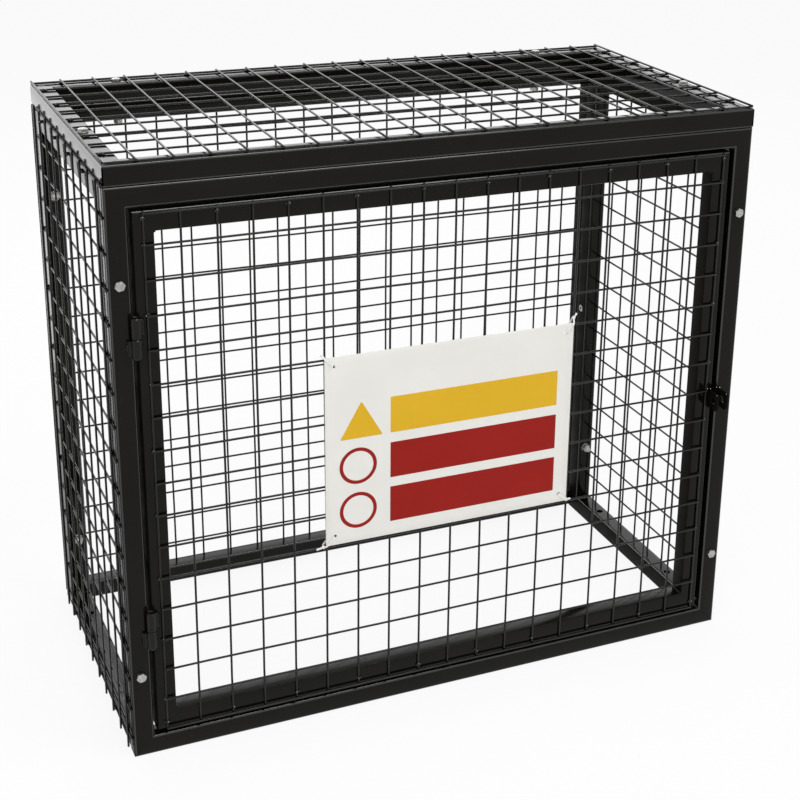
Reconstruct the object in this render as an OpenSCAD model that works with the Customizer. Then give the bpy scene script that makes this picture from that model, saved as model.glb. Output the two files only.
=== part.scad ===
// Gas cylinder cage: five bolted box-section panels with welded wire mesh, one of them holding a door
// Front is -Y, up is +Z, origin on the floor midway between the four anchor holes

/* [Cage] */
// Width over the front frame
cage_w = 1000; // [700:50:1600]
// Depth over the frames
cage_d = 510; // [410:50:810]
// Height of the wall panels, roof not counted
wall_h = 872; // [672:50:1472]

/* [Tube] */
// Side of the square tube
tube = 30; // [26:1:36]
// Wall of the square tube
tube_wall = 2; // [1.5:0.5:3]

/* [Mesh] */
// Diameter of the mesh wire
wire = 3; // [2.5:0.5:4]
// Spacing of the mesh wires
pitch = 50; // [40:5:100]

/* [Door] */
// Gap at the hinge side and the top
door_gap = 5; // [5:0.5:8]
// Gap at the lock side and the bottom
lock_gap = 8; // [5:0.5:10]

/* [Hinges and hasp] */
// Diameter of a hinge barrel
barrel_d = 14; // [12:1:18]
// Length of one hinge knuckle
knuckle = 30; // [24:1:40]
// Height of the hinge splits above the floor and below the frame's top
hinge_end = 211; // [120:1:280]
// Reach of a hasp ear in front of the frame
ear_reach = 30; // [24:1:40]
// Height of a hasp ear
ear_h = 29; // [24:1:40]
// Diameter of the padlock hole
padlock_d = 12; // [8:1:14]
// Height of the middle of the hasp
hasp_z = 427; // [320:1:460]

/* [Bolts and anchors] */
// Distance of the panel bolts from the top and bottom
bolt_end = 135; // [60:5:200]
// Diameter of a panel bolt hole
bolt_hole_d = 9; // [7:1:11]
// Diameter of a floor anchor hole
anchor_d = 12; // [10:1:14]
// Spacing of the anchor holes along one side
anchor_gap = 250; // [150:10:300]

/* [Sign] */
// Width of the sign plate
sign_w = 400; // [300:10:500]
// Height of the sign plate
sign_h = 300; // [200:10:400]
// Thickness of the sign plate
sign_t = 3; // [2:0.5:4]

/* [Hidden] */
roof_z = wall_h;
half_w = cage_w / 2;
half_d = cage_d / 2;
front_y = -half_d;
side_len = cage_d - 2 * tube;
rear_post_y = half_d - tube - tube / 2;

door_x0 = -half_w + tube + door_gap;
door_x1 = half_w - tube - lock_gap;
door_z0 = tube + lock_gap;
door_z1 = wall_h - tube - door_gap;
door_w = door_x1 - door_x0;
door_h = door_z1 - door_z0;

// Octagonal wires stand flat on what they touch and sink a little into each other
wire_sides = 8;
wire_r = wire / 2 / cos(180 / wire_sides);
wire_lap = 0.3;
layer_1 = wire / 2;
layer_2 = layer_1 + wire - wire_lap;
mesh_t = layer_2 + wire / 2;

// Distance from a row's last full gap to its end wire
short_row = 30;
door_row_side = 15;
door_row_lock = 12;
door_row_top = 3.5;
door_row_bottom = 2;
side_row_back = 13;
side_wire_low = 4;
side_wire_over = 15.5;
side_stub_back = 8;
left_row_front = 25;
left_row_low = 30;
left_row_over = 1.5;
right_row_front = 30;
right_row_low = 20;
right_row_under = 3;
back_row_low = 10;
back_row_high = 12;
back_stub_low = 4;
end_row_right = 4;
end_row_left = 1.5;
roof_row_y = 5;
wire_stub = 2;

hinge_x = door_x0 - door_gap / 2;
hinge_y = front_y - barrel_d / 2;
hinge_split = 0.6;
hinge_pin_r = 4;
hinge_pin_play = 0.1;
hinge_pin_short = 6;
hinge_pin_len = knuckle - hinge_pin_short;
wing_t = barrel_d / 2;
wing_w = 12;
wing_trim = 3;
wing_h = knuckle - 2 * wing_trim;
wing_reach = (barrel_d + wing_w) / 2;

ear_t = 4.5;
ear_hole_past = 2;
ear_hole_out = ear_reach / 2 + ear_hole_past;
door_ear_in = 9;
door_ear_x = door_x1 - door_ear_in;
frame_ear_in = 0.5;
frame_ear_x = half_w - tube + frame_ear_in;

roof_bolt_in = 130;
roof_bolt_x = half_w - roof_bolt_in;
roof_bolt_back = 185;
roof_bolt_y = front_y + roof_bolt_back;
lacing_hole_d = 8;
lacing_hole_z = 418;

sign_gap = 0.5;
sign_x = -3;
sign_y = front_y - mesh_t - sign_gap;
sign_z = 444;
sign_hole_d = 6;
sign_inset = 14;
tie_w = 3.6;
tie_t = 1.4;
tie_reach = 24;
tie_turn = 45;

cut = 1;
hole_fn = 32;
barrel_fn = 48;

frame_color = "#26262a";
wire_color = "#2b2b2f";
steel_color = "#3a3a3e";
sign_color = "#f2f2ee";
tie_color = "#f7f7f7";

// Positions of a row of wires: full pitches from one end, then the end wire
function row(a, b) = concat([for (p = [a : pitch : b - short_row]) p], [b]);

// Square tube with 45 degree ends: long edge on X, inner edge on +Y, thickness on +Z
module mitred_tube(len) {
    difference() {
        linear_extrude(height = tube)
            polygon([[0, 0], [len, 0], [len - tube, tube], [tube, tube]]);
        translate([-cut, tube_wall, tube_wall])
            cube([len + 2 * cut, tube - 2 * tube_wall, tube - 2 * tube_wall]);
    }
}

// One side of a flat welded panel, drawn in the panel's own plane
module panel_side(side, w, h) {
    len = (side == "left" || side == "right") ? h : w;
    turn = side == "bottom" ? 0 : side == "right" ? 90 : side == "top" ? 180 : 270;
    corner = side == "bottom" ? [0, 0] : side == "right" ? [w, 0] : side == "top" ? [w, h] : [0, h];
    translate([corner[0], corner[1], 0]) rotate([0, 0, turn]) mitred_tube(len);
}

// Panel planes: X and Y of a child run along and up the panel, Z runs out of the cage
module on_front() translate([-half_w, front_y + tube, 0]) rotate([90, 0, 0]) children();
module on_door() translate([door_x0, front_y + tube, door_z0]) rotate([90, 0, 0]) children();
module on_back() translate([half_w, half_d - tube, 0]) rotate([90, 0, 180]) children();
module on_roof() translate([-half_w, front_y, roof_z]) children();
module on_left() translate([-half_w + tube, half_d - tube, 0]) rotate([90, 0, -90]) children();
module on_right() mirror([1, 0, 0]) on_left() children();

module wire_bar(len) rotate([0, 0, 180 / wire_sides]) cylinder(h = len, r = wire_r, $fn = wire_sides);

// Welded mesh on a panel: xs and ys are the wires' places, x_span and y_span their ends
module wire_mesh(xs, ys, x_span, y_span, x_wires_out) {
    z_up = tube + (x_wires_out ? layer_1 : layer_2);
    z_along = tube + (x_wires_out ? layer_2 : layer_1);
    union() {
        for (x = xs) translate([x, y_span[0], z_up]) rotate([-90, 0, 0]) wire_bar(y_span[1] - y_span[0]);
        for (y = ys) translate([x_span[0], y, z_along]) rotate([0, 90, 0]) wire_bar(x_span[1] - x_span[0]);
    }
}

// Holes of the bolts through the front and back posts, along Y
module post_bolt_holes() {
    for (x = [-1, 1], z = [bolt_end, wall_h - bolt_end])
        translate([x * (half_w - tube / 2), -half_d - cut, z]) rotate([-90, 0, 0])
            cylinder(h = cage_d + 2 * cut, d = bolt_hole_d, $fn = hole_fn);
}

// Holes of the bolts down through the roof's rails
module roof_bolt_holes() {
    depth = 2 * tube + 2 * cut;
    for (x = [-1, 1]) {
        translate([x * (half_w - tube / 2), roof_bolt_y, wall_h - tube - cut])
            cylinder(h = depth, d = bolt_hole_d, $fn = hole_fn);
        translate([x * roof_bolt_x, half_d - tube / 2, wall_h - tube - cut])
            cylinder(h = depth, d = bolt_hole_d, $fn = hole_fn);
    }
}

module anchor_holes() {
    for (x = [-1, 1], y = [-1, 1])
        translate([x * (half_w - tube / 2), y * anchor_gap / 2, -cut])
            cylinder(h = tube + 2 * cut, d = anchor_d, $fn = hole_fn);
}

// Holes for a retaining chain, along X through the rear side posts
module lacing_holes() {
    translate([-half_w - cut, rear_post_y, lacing_hole_z]) rotate([0, 90, 0])
        cylinder(h = cage_w + 2 * cut, d = lacing_hole_d, $fn = hole_fn);
}

module front_side(side) color(frame_color) difference() {
    on_front() panel_side(side, cage_w, wall_h);
    if (side == "left" || side == "right") post_bolt_holes();
}

module left_side(side) color(frame_color) difference() {
    on_left() panel_side(side, side_len, wall_h);
    side_cuts(side);
}

module right_side(side) color(frame_color) difference() {
    on_right() panel_side(side, side_len, wall_h);
    side_cuts(side);
}

// On a side panel "left" is the rear post and "right" the front post
module side_cuts(side) {
    if (side == "left" || side == "right") post_bolt_holes();
    if (side == "left") lacing_holes();
    if (side == "top") roof_bolt_holes();
    if (side == "bottom") anchor_holes();
}

module back_side(side) color(frame_color) difference() {
    on_back() panel_side(side, cage_w, wall_h);
    if (side == "left" || side == "right") post_bolt_holes();
    if (side == "top") roof_bolt_holes();
}

module roof_side(side) color(frame_color) difference() {
    on_roof() panel_side(side, cage_w, cage_d);
    if (side != "bottom") roof_bolt_holes();
}

module door_side(side) color(frame_color) on_door() panel_side(side, door_w, door_h);

// Mesh of a side panel, counted from its front end
module side_mesh(row_front, row_low, row_high) {
    reach = side_len + tube;
    wire_mesh([for (p = row(row_front, reach - side_row_back)) reach - p],
              row(row_low, row_high),
              [side_row_back - side_stub_back, reach - wire_stub],
              [side_wire_low, wall_h + side_wire_over], false);
}

module left_mesh() color(wire_color) on_left()
    side_mesh(left_row_front, left_row_low, wall_h + left_row_over);
module right_mesh() color(wire_color) on_right()
    side_mesh(right_row_front, right_row_low, wall_h - right_row_under);

module back_mesh() color(wire_color) on_back()
    wire_mesh(row(end_row_right, cage_w - end_row_left), row(back_row_low, wall_h - back_row_high),
              [0, cage_w], [back_row_low - back_stub_low, wall_h - wire_stub], false);

module roof_mesh() color(wire_color) on_roof()
    wire_mesh([for (p = row(end_row_right, cage_w - end_row_left)) cage_w - p],
              row(roof_row_y, cage_d - roof_row_y),
              [0, cage_w], [0, cage_d], false);

// The door's short gap is at the top, its uprights lie against the tube
module door_mesh() color(wire_color) on_door()
    wire_mesh(row(door_row_side, door_w - door_row_lock), row(door_row_bottom, door_h - door_row_top),
              [door_row_side - wire_stub, door_w - door_row_lock + wire_stub],
              [0, door_h], true);

module hinge_round(z, len, r)
    translate([hinge_x, hinge_y, z]) cylinder(h = len, r = r, $fn = barrel_fn);

// Lower knuckle with its pin, held to the frame by a welded wing
module hinge_frame_half(split_z) color(steel_color) {
    low = split_z - knuckle;
    union() {
        hinge_round(low, knuckle, barrel_d / 2);
        hinge_round(low, knuckle + hinge_pin_len, hinge_pin_r);
        translate([hinge_x - wing_reach, front_y - wing_t, low + wing_trim])
            cube([wing_reach, wing_t, wing_h]);
    }
}

// Upper knuckle, blind bored for the pin, held to the door by a welded wing
module hinge_door_half(split_z) color(steel_color) difference() {
    union() {
        hinge_round(split_z + hinge_split, knuckle, barrel_d / 2);
        translate([hinge_x, front_y - wing_t, split_z + wing_trim]) cube([wing_reach, wing_t, wing_h]);
    }
    hinge_round(split_z - cut, hinge_pin_len + 2 * cut, hinge_pin_r + hinge_pin_play);
}

// Flat ear standing out of the front, drilled for a padlock
module hasp_ear(x) color(steel_color) difference() {
    translate([x, front_y - ear_reach, hasp_z - ear_h / 2]) cube([ear_t, ear_reach, ear_h]);
    translate([x - cut, front_y - ear_hole_out, hasp_z]) rotate([0, 90, 0])
        cylinder(h = ear_t + 2 * cut, d = padlock_d, $fn = barrel_fn);
}

// The four corners of the sign where a tie goes through
module at_sign_hole(x, z)
    translate([sign_x + x * (sign_w / 2 - sign_inset), sign_y, sign_z + z * (sign_h / 2 - sign_inset)])
        rotate([90, 0, 0]) children();

module sign_plate() color(sign_color) difference() {
    translate([sign_x - sign_w / 2, sign_y - sign_t, sign_z - sign_h / 2]) cube([sign_w, sign_t, sign_h]);
    for (x = [-1, 1], z = [-1, 1])
        at_sign_hole(x, z) translate([0, 0, -cut])
            cylinder(h = sign_t + 2 * cut, d = sign_hole_d, $fn = hole_fn);
}

// Straps of the cable ties, flat on the sign's corners
module sign_ties() color(tie_color) {
    for (x = [-1, 1], z = [-1, 1])
        at_sign_hole(x, z) rotate([0, 0, -x * z * tie_turn])
            translate([-tie_w / 2, -tie_reach / 2, sign_t]) cube([tie_w, tie_reach, tie_t]);
}

front_side("left");  // front_left_post
front_side("right");  // front_right_post
front_side("top");  // front_top_rail
front_side("bottom");  // front_bottom_rail
left_side("right");  // left_front_post
left_side("left");  // left_rear_post
left_side("top");  // left_top_rail
left_side("bottom");  // left_bottom_rail
right_side("right");  // right_front_post
right_side("left");  // right_rear_post
right_side("top");  // right_top_rail
right_side("bottom");  // right_bottom_rail
back_side("right");  // back_left_post
back_side("left");  // back_right_post
back_side("top");  // back_top_rail
back_side("bottom");  // back_bottom_rail
roof_side("left");  // roof_left_rail
roof_side("right");  // roof_right_rail
roof_side("bottom");  // roof_front_rail
roof_side("top");  // roof_back_rail
left_mesh();
right_mesh();
back_mesh();
roof_mesh();
hinge_frame_half(wall_h - hinge_end);  // upper_hinge_frame_half
hinge_frame_half(hinge_end);  // lower_hinge_frame_half
hasp_ear(frame_ear_x);  // frame_hasp_ear
door_side("left");  // door_hinge_stile
door_side("right");  // door_lock_stile
door_side("top");  // door_top_rail
door_side("bottom");  // door_bottom_rail
door_mesh();
hinge_door_half(wall_h - hinge_end);  // upper_hinge_door_half
hinge_door_half(hinge_end);  // lower_hinge_door_half
hasp_ear(door_ear_x);  // door_hasp_ear
sign_plate();
sign_ties();
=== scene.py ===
import bpy
import bmesh
import random
from math import cos, pi, radians, sin, sqrt, tan
from mathutils import Matrix, Vector


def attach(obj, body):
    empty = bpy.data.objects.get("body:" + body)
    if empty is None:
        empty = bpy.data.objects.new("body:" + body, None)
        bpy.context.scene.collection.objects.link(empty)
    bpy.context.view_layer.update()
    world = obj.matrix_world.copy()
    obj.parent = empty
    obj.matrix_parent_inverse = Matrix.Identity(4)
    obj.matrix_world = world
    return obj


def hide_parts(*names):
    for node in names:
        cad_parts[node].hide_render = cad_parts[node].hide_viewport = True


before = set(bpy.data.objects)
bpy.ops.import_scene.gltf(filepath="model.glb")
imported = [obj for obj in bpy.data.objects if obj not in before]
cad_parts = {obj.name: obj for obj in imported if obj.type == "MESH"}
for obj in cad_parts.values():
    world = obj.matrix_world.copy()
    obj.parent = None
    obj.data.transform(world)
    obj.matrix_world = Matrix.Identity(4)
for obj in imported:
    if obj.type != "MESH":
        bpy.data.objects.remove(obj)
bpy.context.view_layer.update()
rng = random.Random(7)

# Sizes shared by the pieces, in metres, as in the part's source
cage = {
    "width": 1.0,
    "depth": 0.51,
    "wallHeight": 0.872,
    "tube": 0.03,
    "tubeWall": 0.002,
    "cornerRadius": 0.0028,
    "doorLeft": -0.465,
    "doorRight": 0.462,
    "doorLow": 0.038,
    "doorHigh": 0.837,
}
halfWidth = cage["width"] / 2
halfDepth = cage["depth"] / 2
frontY = -halfDepth
tube = cage["tube"]
wallHeight = cage["wallHeight"]
doorWidth = cage["doorRight"] - cage["doorLeft"]
doorHeight = cage["doorHigh"] - cage["doorLow"]
sideLength = cage["depth"] - 2 * tube


# Camera
cameraView = {
    "place": (-0.901710, -2.270762, 1.458399),
    "turn": -0.443381,
    "tilt": -0.346966,
    "roll": 0.02704,
    "focalPixels": 1606.354,
    "centrePixels": (488.144, 296.943),
    "imagePixels": 800,
}


def addObject(name, data):
    item = bpy.data.objects.new(name, data)
    bpy.context.scene.collection.objects.link(item)
    return item


def addCamera(view):
    turn, tilt, roll = view["turn"], view["tilt"], view["roll"]
    forward = Vector((-sin(turn) * cos(tilt), cos(turn) * cos(tilt), sin(tilt)))
    level = Vector((cos(turn), sin(turn), 0))
    upright = level.cross(forward)
    right = cos(roll) * level + sin(roll) * upright
    up = -sin(roll) * level + cos(roll) * upright
    data = bpy.data.cameras.new("camera")
    data.sensor_width = 36
    data.lens = view["focalPixels"] / view["imagePixels"] * data.sensor_width
    data.shift_x = 0.5 - view["centrePixels"][0] / view["imagePixels"]
    data.shift_y = view["centrePixels"][1] / view["imagePixels"] - 0.5
    data.clip_end = 100
    camera = addObject("camera", data)
    turned = Matrix((right, up, -forward)).transposed().to_4x4()
    camera.matrix_world = Matrix.Translation(view["place"]) @ turned
    bpy.context.scene.camera = camera


addCamera(cameraView)
print("camera placed")


# Materials
def newMaterial(name, look):
    material = bpy.data.materials.new(name)
    material.use_nodes = True
    shader = material.node_tree.nodes["Principled BSDF"]
    for socket, value in look.items():
        shader.inputs[socket].default_value = value
    return material, material.node_tree, shader


def addNode(tree, kind, **values):
    node = tree.nodes.new(kind)
    for key, value in values.items():
        if key in node.inputs:
            node.inputs[key].default_value = value
        else:
            setattr(node, key, value)
    return node


def noiseOn(tree, scale, detail):
    coords = addNode(tree, "ShaderNodeTexCoord")
    noise = addNode(tree, "ShaderNodeTexNoise", Scale=scale, Detail=detail)
    tree.links.new(coords.outputs["Object"], noise.inputs["Vector"])
    return noise.outputs["Fac"]


def ranged(tree, fac, low, high, fromLow=0.3, fromHigh=0.7):
    limits = {"From Min": fromLow, "From Max": fromHigh, "To Min": low, "To Max": high}
    node = addNode(tree, "ShaderNodeMapRange", **limits)
    tree.links.new(fac, node.inputs["Value"])
    return node.outputs["Result"]


def blendColours(tree, fac, first, second):
    mix = tree.nodes.new("ShaderNodeMix")
    mix.data_type = "RGBA"
    tree.links.new(fac, mix.inputs["Factor"])
    for socket, colour in ((mix.inputs[6], first), (mix.inputs[7], second)):
        if isinstance(colour, tuple):
            socket.default_value = colour
        else:
            tree.links.new(colour, socket)
    return mix.outputs[2]


def addBump(tree, shader, fac, strength, distance):
    bump = addNode(tree, "ShaderNodeBump", Strength=strength, Distance=distance)
    tree.links.new(fac, bump.inputs["Height"])
    tree.links.new(bump.outputs["Normal"], shader.inputs["Normal"])


paint = {
    "dark": (0.0034, 0.0029, 0.0021, 1),
    "pale": (0.0052, 0.0045, 0.0033, 1),
    "dust": (0.035, 0.033, 0.03, 1),
    "cloudScale": 9,
    "handlingScale": 34,
    "speckScale": 310,
    "specksAbove": 0.755,
    "speckBlend": 0.02,
    # Heights over which the gloss of the shaded-below copy rises, painted shade low down
    "shadeRampHeights": (0.05, 0.9),
    "peelScale": 420,
    "peelStrength": 0.35,
    "peelDepth": 0.00004,
}


def makePaint(name, look, index, smooth, rough, lowIndex=None):
    material, tree, shader = newMaterial(name, {"IOR": index})
    # Gloss falls towards the bottom between the given heights: painted shade low down
    if lowIndex:
        place = tree.nodes.new("ShaderNodeSeparateXYZ")
        coords = tree.nodes.new("ShaderNodeTexCoord")
        tree.links.new(coords.outputs["Object"], place.inputs[0])
        gloss = ranged(tree, place.outputs["Z"], lowIndex, index, *look["shadeRampHeights"])
        tree.links.new(gloss, shader.inputs["IOR"])
    cloud = noiseOn(tree, look["cloudScale"], 4)
    base = blendColours(tree, ranged(tree, cloud, 0, 1), look["dark"], look["pale"])
    above = look["specksAbove"]
    specks = ranged(tree, noiseOn(tree, look["speckScale"], 1), 0, 1, above, above + look["speckBlend"])
    finished = blendColours(tree, specks, base, look["dust"])
    tree.links.new(finished, shader.inputs["Base Color"])
    handling = noiseOn(tree, look["handlingScale"], 5)
    tree.links.new(ranged(tree, handling, smooth, rough), shader.inputs["Roughness"])
    addBump(tree, shader, noiseOn(tree, look["peelScale"], 2), look["peelStrength"], look["peelDepth"])
    return material


# One black coat, its gloss set face by face to the tones in the photo
# These copies of the coat differ only in gloss: the glossier ones give painted highlights, the duller ones
# painted shade
framePaint = makePaint("frame_paint", paint, 1.235, 0.09, 0.15)
# Wires are glossier than the frame, a painted highlight along their tops
wirePaint = makePaint("wire_paint", paint, 1.38, 0.18, 0.28)
# Dull copy for painted shade in the hinge gap, on faces inside the cage and on the hasp ears
shadedPaint = makePaint("shaded_paint", paint, 1.1, 0.35, 0.5)
# Copy whose gloss falls towards the bottom, painted shade low on the left faces
shadeBelowPaint = makePaint("shade_below_paint", paint, 1.235, 0.12, 0.2, 1.05)
# Almost glossless copy for painted shade in the gap over the door and on the left bottom rail beside the
# floor
deepShadePaint = makePaint("deep_shade_paint", paint, 1.015, 0.3, 0.4)
# Glossier copy on rounded edges, a painted highlight line
edgeHighlightPaint = makePaint("edge_highlight_paint", paint, 1.6, 0.09, 0.15)
# Hinges and tack welds are glossier than the frame, painted highlights on their rims and lumps
fittingPaint = makePaint("fitting_paint", paint, 1.3, 0.13, 0.22)
weldPaint = makePaint("weld_paint", paint, 1.42, 0.1, 0.18)


zinc = {
    "bright": (0.56, 0.55, 0.54, 1),
    "dull": (0.34, 0.335, 0.325, 1),
    "stain": (0.23, 0.2, 0.16, 1),
}


def makeZinc(name, look):
    material, tree, shader = newMaterial(name, {"Metallic": 1.0})
    cloud = ranged(tree, noiseOn(tree, 260, 4), 0, 1)
    plated = blendColours(tree, cloud, look["dull"], look["bright"])
    patches = ranged(tree, noiseOn(tree, 90, 3), 0, 0.6, 0.52, 0.75)
    tree.links.new(blendColours(tree, patches, plated, look["stain"]), shader.inputs["Base Color"])
    tree.links.new(ranged(tree, noiseOn(tree, 400, 3), 0.28, 0.46), shader.inputs["Roughness"])
    addBump(tree, shader, noiseOn(tree, 900, 2), 0.3, 0.00005)
    return material


zincPlate = makeZinc("zinc_plate", zinc)
# Light metal specks that stand in for glints on welds and ears: painted highlights
glintSpeckMetal = makeZinc("glint_speck_metal", {"bright": (0.62, 0.62, 0.63, 1), "dull": (0.45, 0.45, 0.46, 1),
                                        "stain": (0.3, 0.3, 0.3, 1)})

signInk = {
    "white": ((0.82, 0.81, 0.775, 1), (0.79, 0.78, 0.74, 1)),
    "yellow": ((0.74, 0.44, 0.022, 1), (0.71, 0.42, 0.019, 1)),
    "red": ((0.315, 0.0115, 0.0075, 1), (0.295, 0.0105, 0.007, 1)),
}


def makeSignFace(name, colours, smooth, rough):
    material, tree, shader = newMaterial(name, {"IOR": 1.22})
    cloud = ranged(tree, noiseOn(tree, 14, 4), 0, 1)
    tree.links.new(blendColours(tree, cloud, colours[0], colours[1]), shader.inputs["Base Color"])
    tree.links.new(ranged(tree, noiseOn(tree, 60, 4), smooth, rough), shader.inputs["Roughness"])
    addBump(tree, shader, noiseOn(tree, 700, 2), 0.25, 0.00004)
    return material


signWhite = makeSignFace("sign_white", signInk["white"], 0.38, 0.5)
signYellow = makeSignFace("sign_yellow", signInk["yellow"], 0.3, 0.42)
signRed = makeSignFace("sign_red", signInk["red"], 0.3, 0.42)


def makeNylon(name):
    look = {"IOR": 1.53, "Subsurface Weight": 0.15, "Subsurface Scale": 0.002}
    material, tree, shader = newMaterial(name, look)
    cloud = ranged(tree, noiseOn(tree, 120, 3), 0, 1)
    colour = blendColours(tree, cloud, (0.86, 0.86, 0.84, 1), (0.80, 0.80, 0.77, 1))
    tree.links.new(colour, shader.inputs["Base Color"])
    tree.links.new(ranged(tree, noiseOn(tree, 300, 2), 0.3, 0.42), shader.inputs["Roughness"])
    addBump(tree, shader, noiseOn(tree, 1500, 2), 0.2, 0.00003)
    return material


tieNylon = makeNylon("tie_nylon")
print("materials made")


# Shared modelling steps
def finishPiece(name, bm, materials, body, hides=(), sharpAt=38):
    bmesh.ops.remove_doubles(bm, verts=bm.verts, dist=1e-7)
    mesh = bpy.data.meshes.new(name)
    bm.to_mesh(mesh)
    bm.free()
    for material in materials:
        mesh.materials.append(material)
    mesh.shade_smooth()
    mesh.set_sharp_from_angle(angle=radians(sharpAt))
    piece = addObject(name, mesh)
    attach(piece, body)
    if hides:
        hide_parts(*hides)


def joinInto(bm, part, place=Matrix()):
    mesh = bpy.data.meshes.new("part")
    part.to_mesh(mesh)
    mesh.transform(place)
    if place.determinant() < 0:
        mesh.flip_normals()
    bm.from_mesh(mesh)
    bpy.data.meshes.remove(mesh)


def combine(first, second, operation):
    objects = []
    for part in (first, second):
        mesh = bpy.data.meshes.new("work")
        part.to_mesh(mesh)
        part.free()
        objects.append(addObject("work", mesh))
    base, tool = objects
    modifier = base.modifiers.new("cut", "BOOLEAN")
    modifier.operation = operation
    modifier.solver = "EXACT"
    modifier.object = tool
    bpy.context.view_layer.update()
    shaped = base.evaluated_get(bpy.context.evaluated_depsgraph_get())
    bm = bmesh.new()
    bm.from_mesh(shaped.to_mesh())
    shaped.to_mesh_clear()
    for item in objects:
        mesh = item.data
        bpy.data.objects.remove(item)
        bpy.data.meshes.remove(mesh)
    return bm


def roundOff(bm, geom, offset, segments, affect="EDGES"):
    bmesh.ops.bevel(bm, geom=geom, offset=offset, segments=segments, affect=affect, profile=0.5, material=-1)


def boxOf(size, place=Matrix()):
    box = bmesh.new()
    bmesh.ops.create_cube(box, size=1)
    bmesh.ops.transform(box, matrix=place @ Matrix.Diagonal((*size, 1)), verts=box.verts)
    return box


def facing(out, axis="Z"):
    return Vector(out).to_track_quat(axis, "Y").to_matrix().to_4x4()


def addRod(bm, start, end, radius, sides=10, cuts=0, rounding=0.0):
    start, end = Vector(start), Vector(end)
    rod = bmesh.new()
    bmesh.ops.create_cone(rod, cap_ends=True, segments=sides, radius1=radius, radius2=radius,
                          depth=(end - start).length)
    if rounding:
        rims = [e for e in rod.edges if len({round(v.co.z, 6) for v in e.verts}) == 1]
        roundOff(rod, rims, rounding, 2)
    if cuts:
        half = (end - start).length / 2 - rounding * 1.5
        long = [e for e in rod.edges if abs(e.verts[0].co.z - e.verts[1].co.z) > half]
        bmesh.ops.subdivide_edges(rod, edges=long, cuts=cuts)
    joinInto(bm, rod, Matrix.Translation((start + end) / 2) @ facing(end - start))
    rod.free()


def addBead(bm, start, end, radius, out, rise, step=0.0016):
    start, end = Vector(start), Vector(end)
    length = (end - start).length
    count = max(4, int(length / step) * 2)
    bead = bmesh.new()
    bmesh.ops.create_cone(bead, cap_ends=True, segments=8, radius1=radius, radius2=radius, depth=length)
    long = [e for e in bead.edges if abs(e.verts[0].co.z - e.verts[1].co.z) > length / 2]
    bmesh.ops.subdivide_edges(bead, edges=long, cuts=count)
    phase = rng.uniform(0, 6)
    for vert in bead.verts:
        t = vert.co.z / length + 0.5
        swell = 1 + 0.16 * cos(t * count * pi + phase) + 0.08 * sin(t * 9 + phase)
        taper = sqrt(max(0.0, 1 - (2 * t - 1) ** 8)) * 0.85 + 0.15
        vert.co.x *= swell * taper
        vert.co.y *= swell * taper
    axis = (end - start).normalized()
    lift = Vector(out).normalized()
    side = lift.cross(axis)
    place = Matrix((side, lift, axis)).transposed().to_4x4()
    squash = Matrix.Scale(rise / radius, 4, Vector((0, 1, 0)))
    joinInto(bm, bead, Matrix.Translation((start + end) / 2) @ place @ squash)
    bead.free()


balls = {}


# One unit ball for each fineness, placed again and again
def addBlob(bm, place, radius, out, rise, rings=4, sides=8):
    if (rings, sides) not in balls:
        ball = bmesh.new()
        bmesh.ops.create_uvsphere(ball, u_segments=sides, v_segments=rings, radius=1)
        balls[rings, sides] = ball
    size = Matrix.Diagonal((radius, radius, rise, 1))
    turn = facing(Vector(out).normalized())
    joinInto(bm, balls[rings, sides], Matrix.Translation(place) @ turn @ size)


# Panel planes
def turned(x, z):
    return Matrix.Rotation(radians(z), 4, "Z") @ Matrix.Rotation(radians(x), 4, "X")


# Each plane carries X and Y along and up a panel, and Z out of the cage
onLeft = Matrix.Translation((-halfWidth + tube, halfDepth - tube, 0)) @ turned(90, -90)
planes = {
    "front": Matrix.Translation((-halfWidth, frontY + tube, 0)) @ turned(90, 0),
    "door": Matrix.Translation((cage["doorLeft"], frontY + tube, cage["doorLow"])) @ turned(90, 0),
    "back": Matrix.Translation((halfWidth, halfDepth - tube, 0)) @ turned(90, 180),
    "roof": Matrix.Translation((-halfWidth, frontY, wallHeight)),
    "left": onLeft,
    "right": Matrix.Scale(-1, 4, Vector((1, 0, 0))) @ onLeft,
}
panels = {
    "front": {"size": (cage["width"], wallHeight), "body": "cage"},
    "door": {"size": (doorWidth, doorHeight), "body": "door"},
    "back": {"size": (cage["width"], wallHeight), "body": "cage"},
    "roof": {"size": (cage["width"], cage["depth"]), "body": "cage"},
    "left": {"size": (sideLength, wallHeight), "body": "cage"},
    "right": {"size": (sideLength, wallHeight), "body": "cage"},
}
# The CAD node that each side of a panel stands for, after the panel's own name
sides = ("left", "right", "top", "bottom")
members = {
    "front": ("left_post", "right_post", "top_rail", "bottom_rail"),
    "door": ("hinge_stile", "lock_stile", "top_rail", "bottom_rail"),
    "back": ("right_post", "left_post", "top_rail", "bottom_rail"),
    "roof": ("left_rail", "right_rail", "back_rail", "front_rail"),
    "left": ("rear_post", "front_post", "top_rail", "bottom_rail"),
    "right": ("rear_post", "front_post", "top_rail", "bottom_rail"),
}

bolts = {
    "endDistance": 0.135,
    "holeRadius": 0.0045,
    "roofSideY": frontY + 0.185,
    "roofBackX": halfWidth - 0.13,
    "anchorRadius": 0.006,
    "anchorGap": 0.25,
    "lacingRadius": 0.004,
    "lacingHeight": 0.418,
    "lacingY": halfDepth - 1.5 * tube,
}
postX = halfWidth - tube / 2
hingeGapX = cage["doorLeft"] - 0.0025


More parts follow.
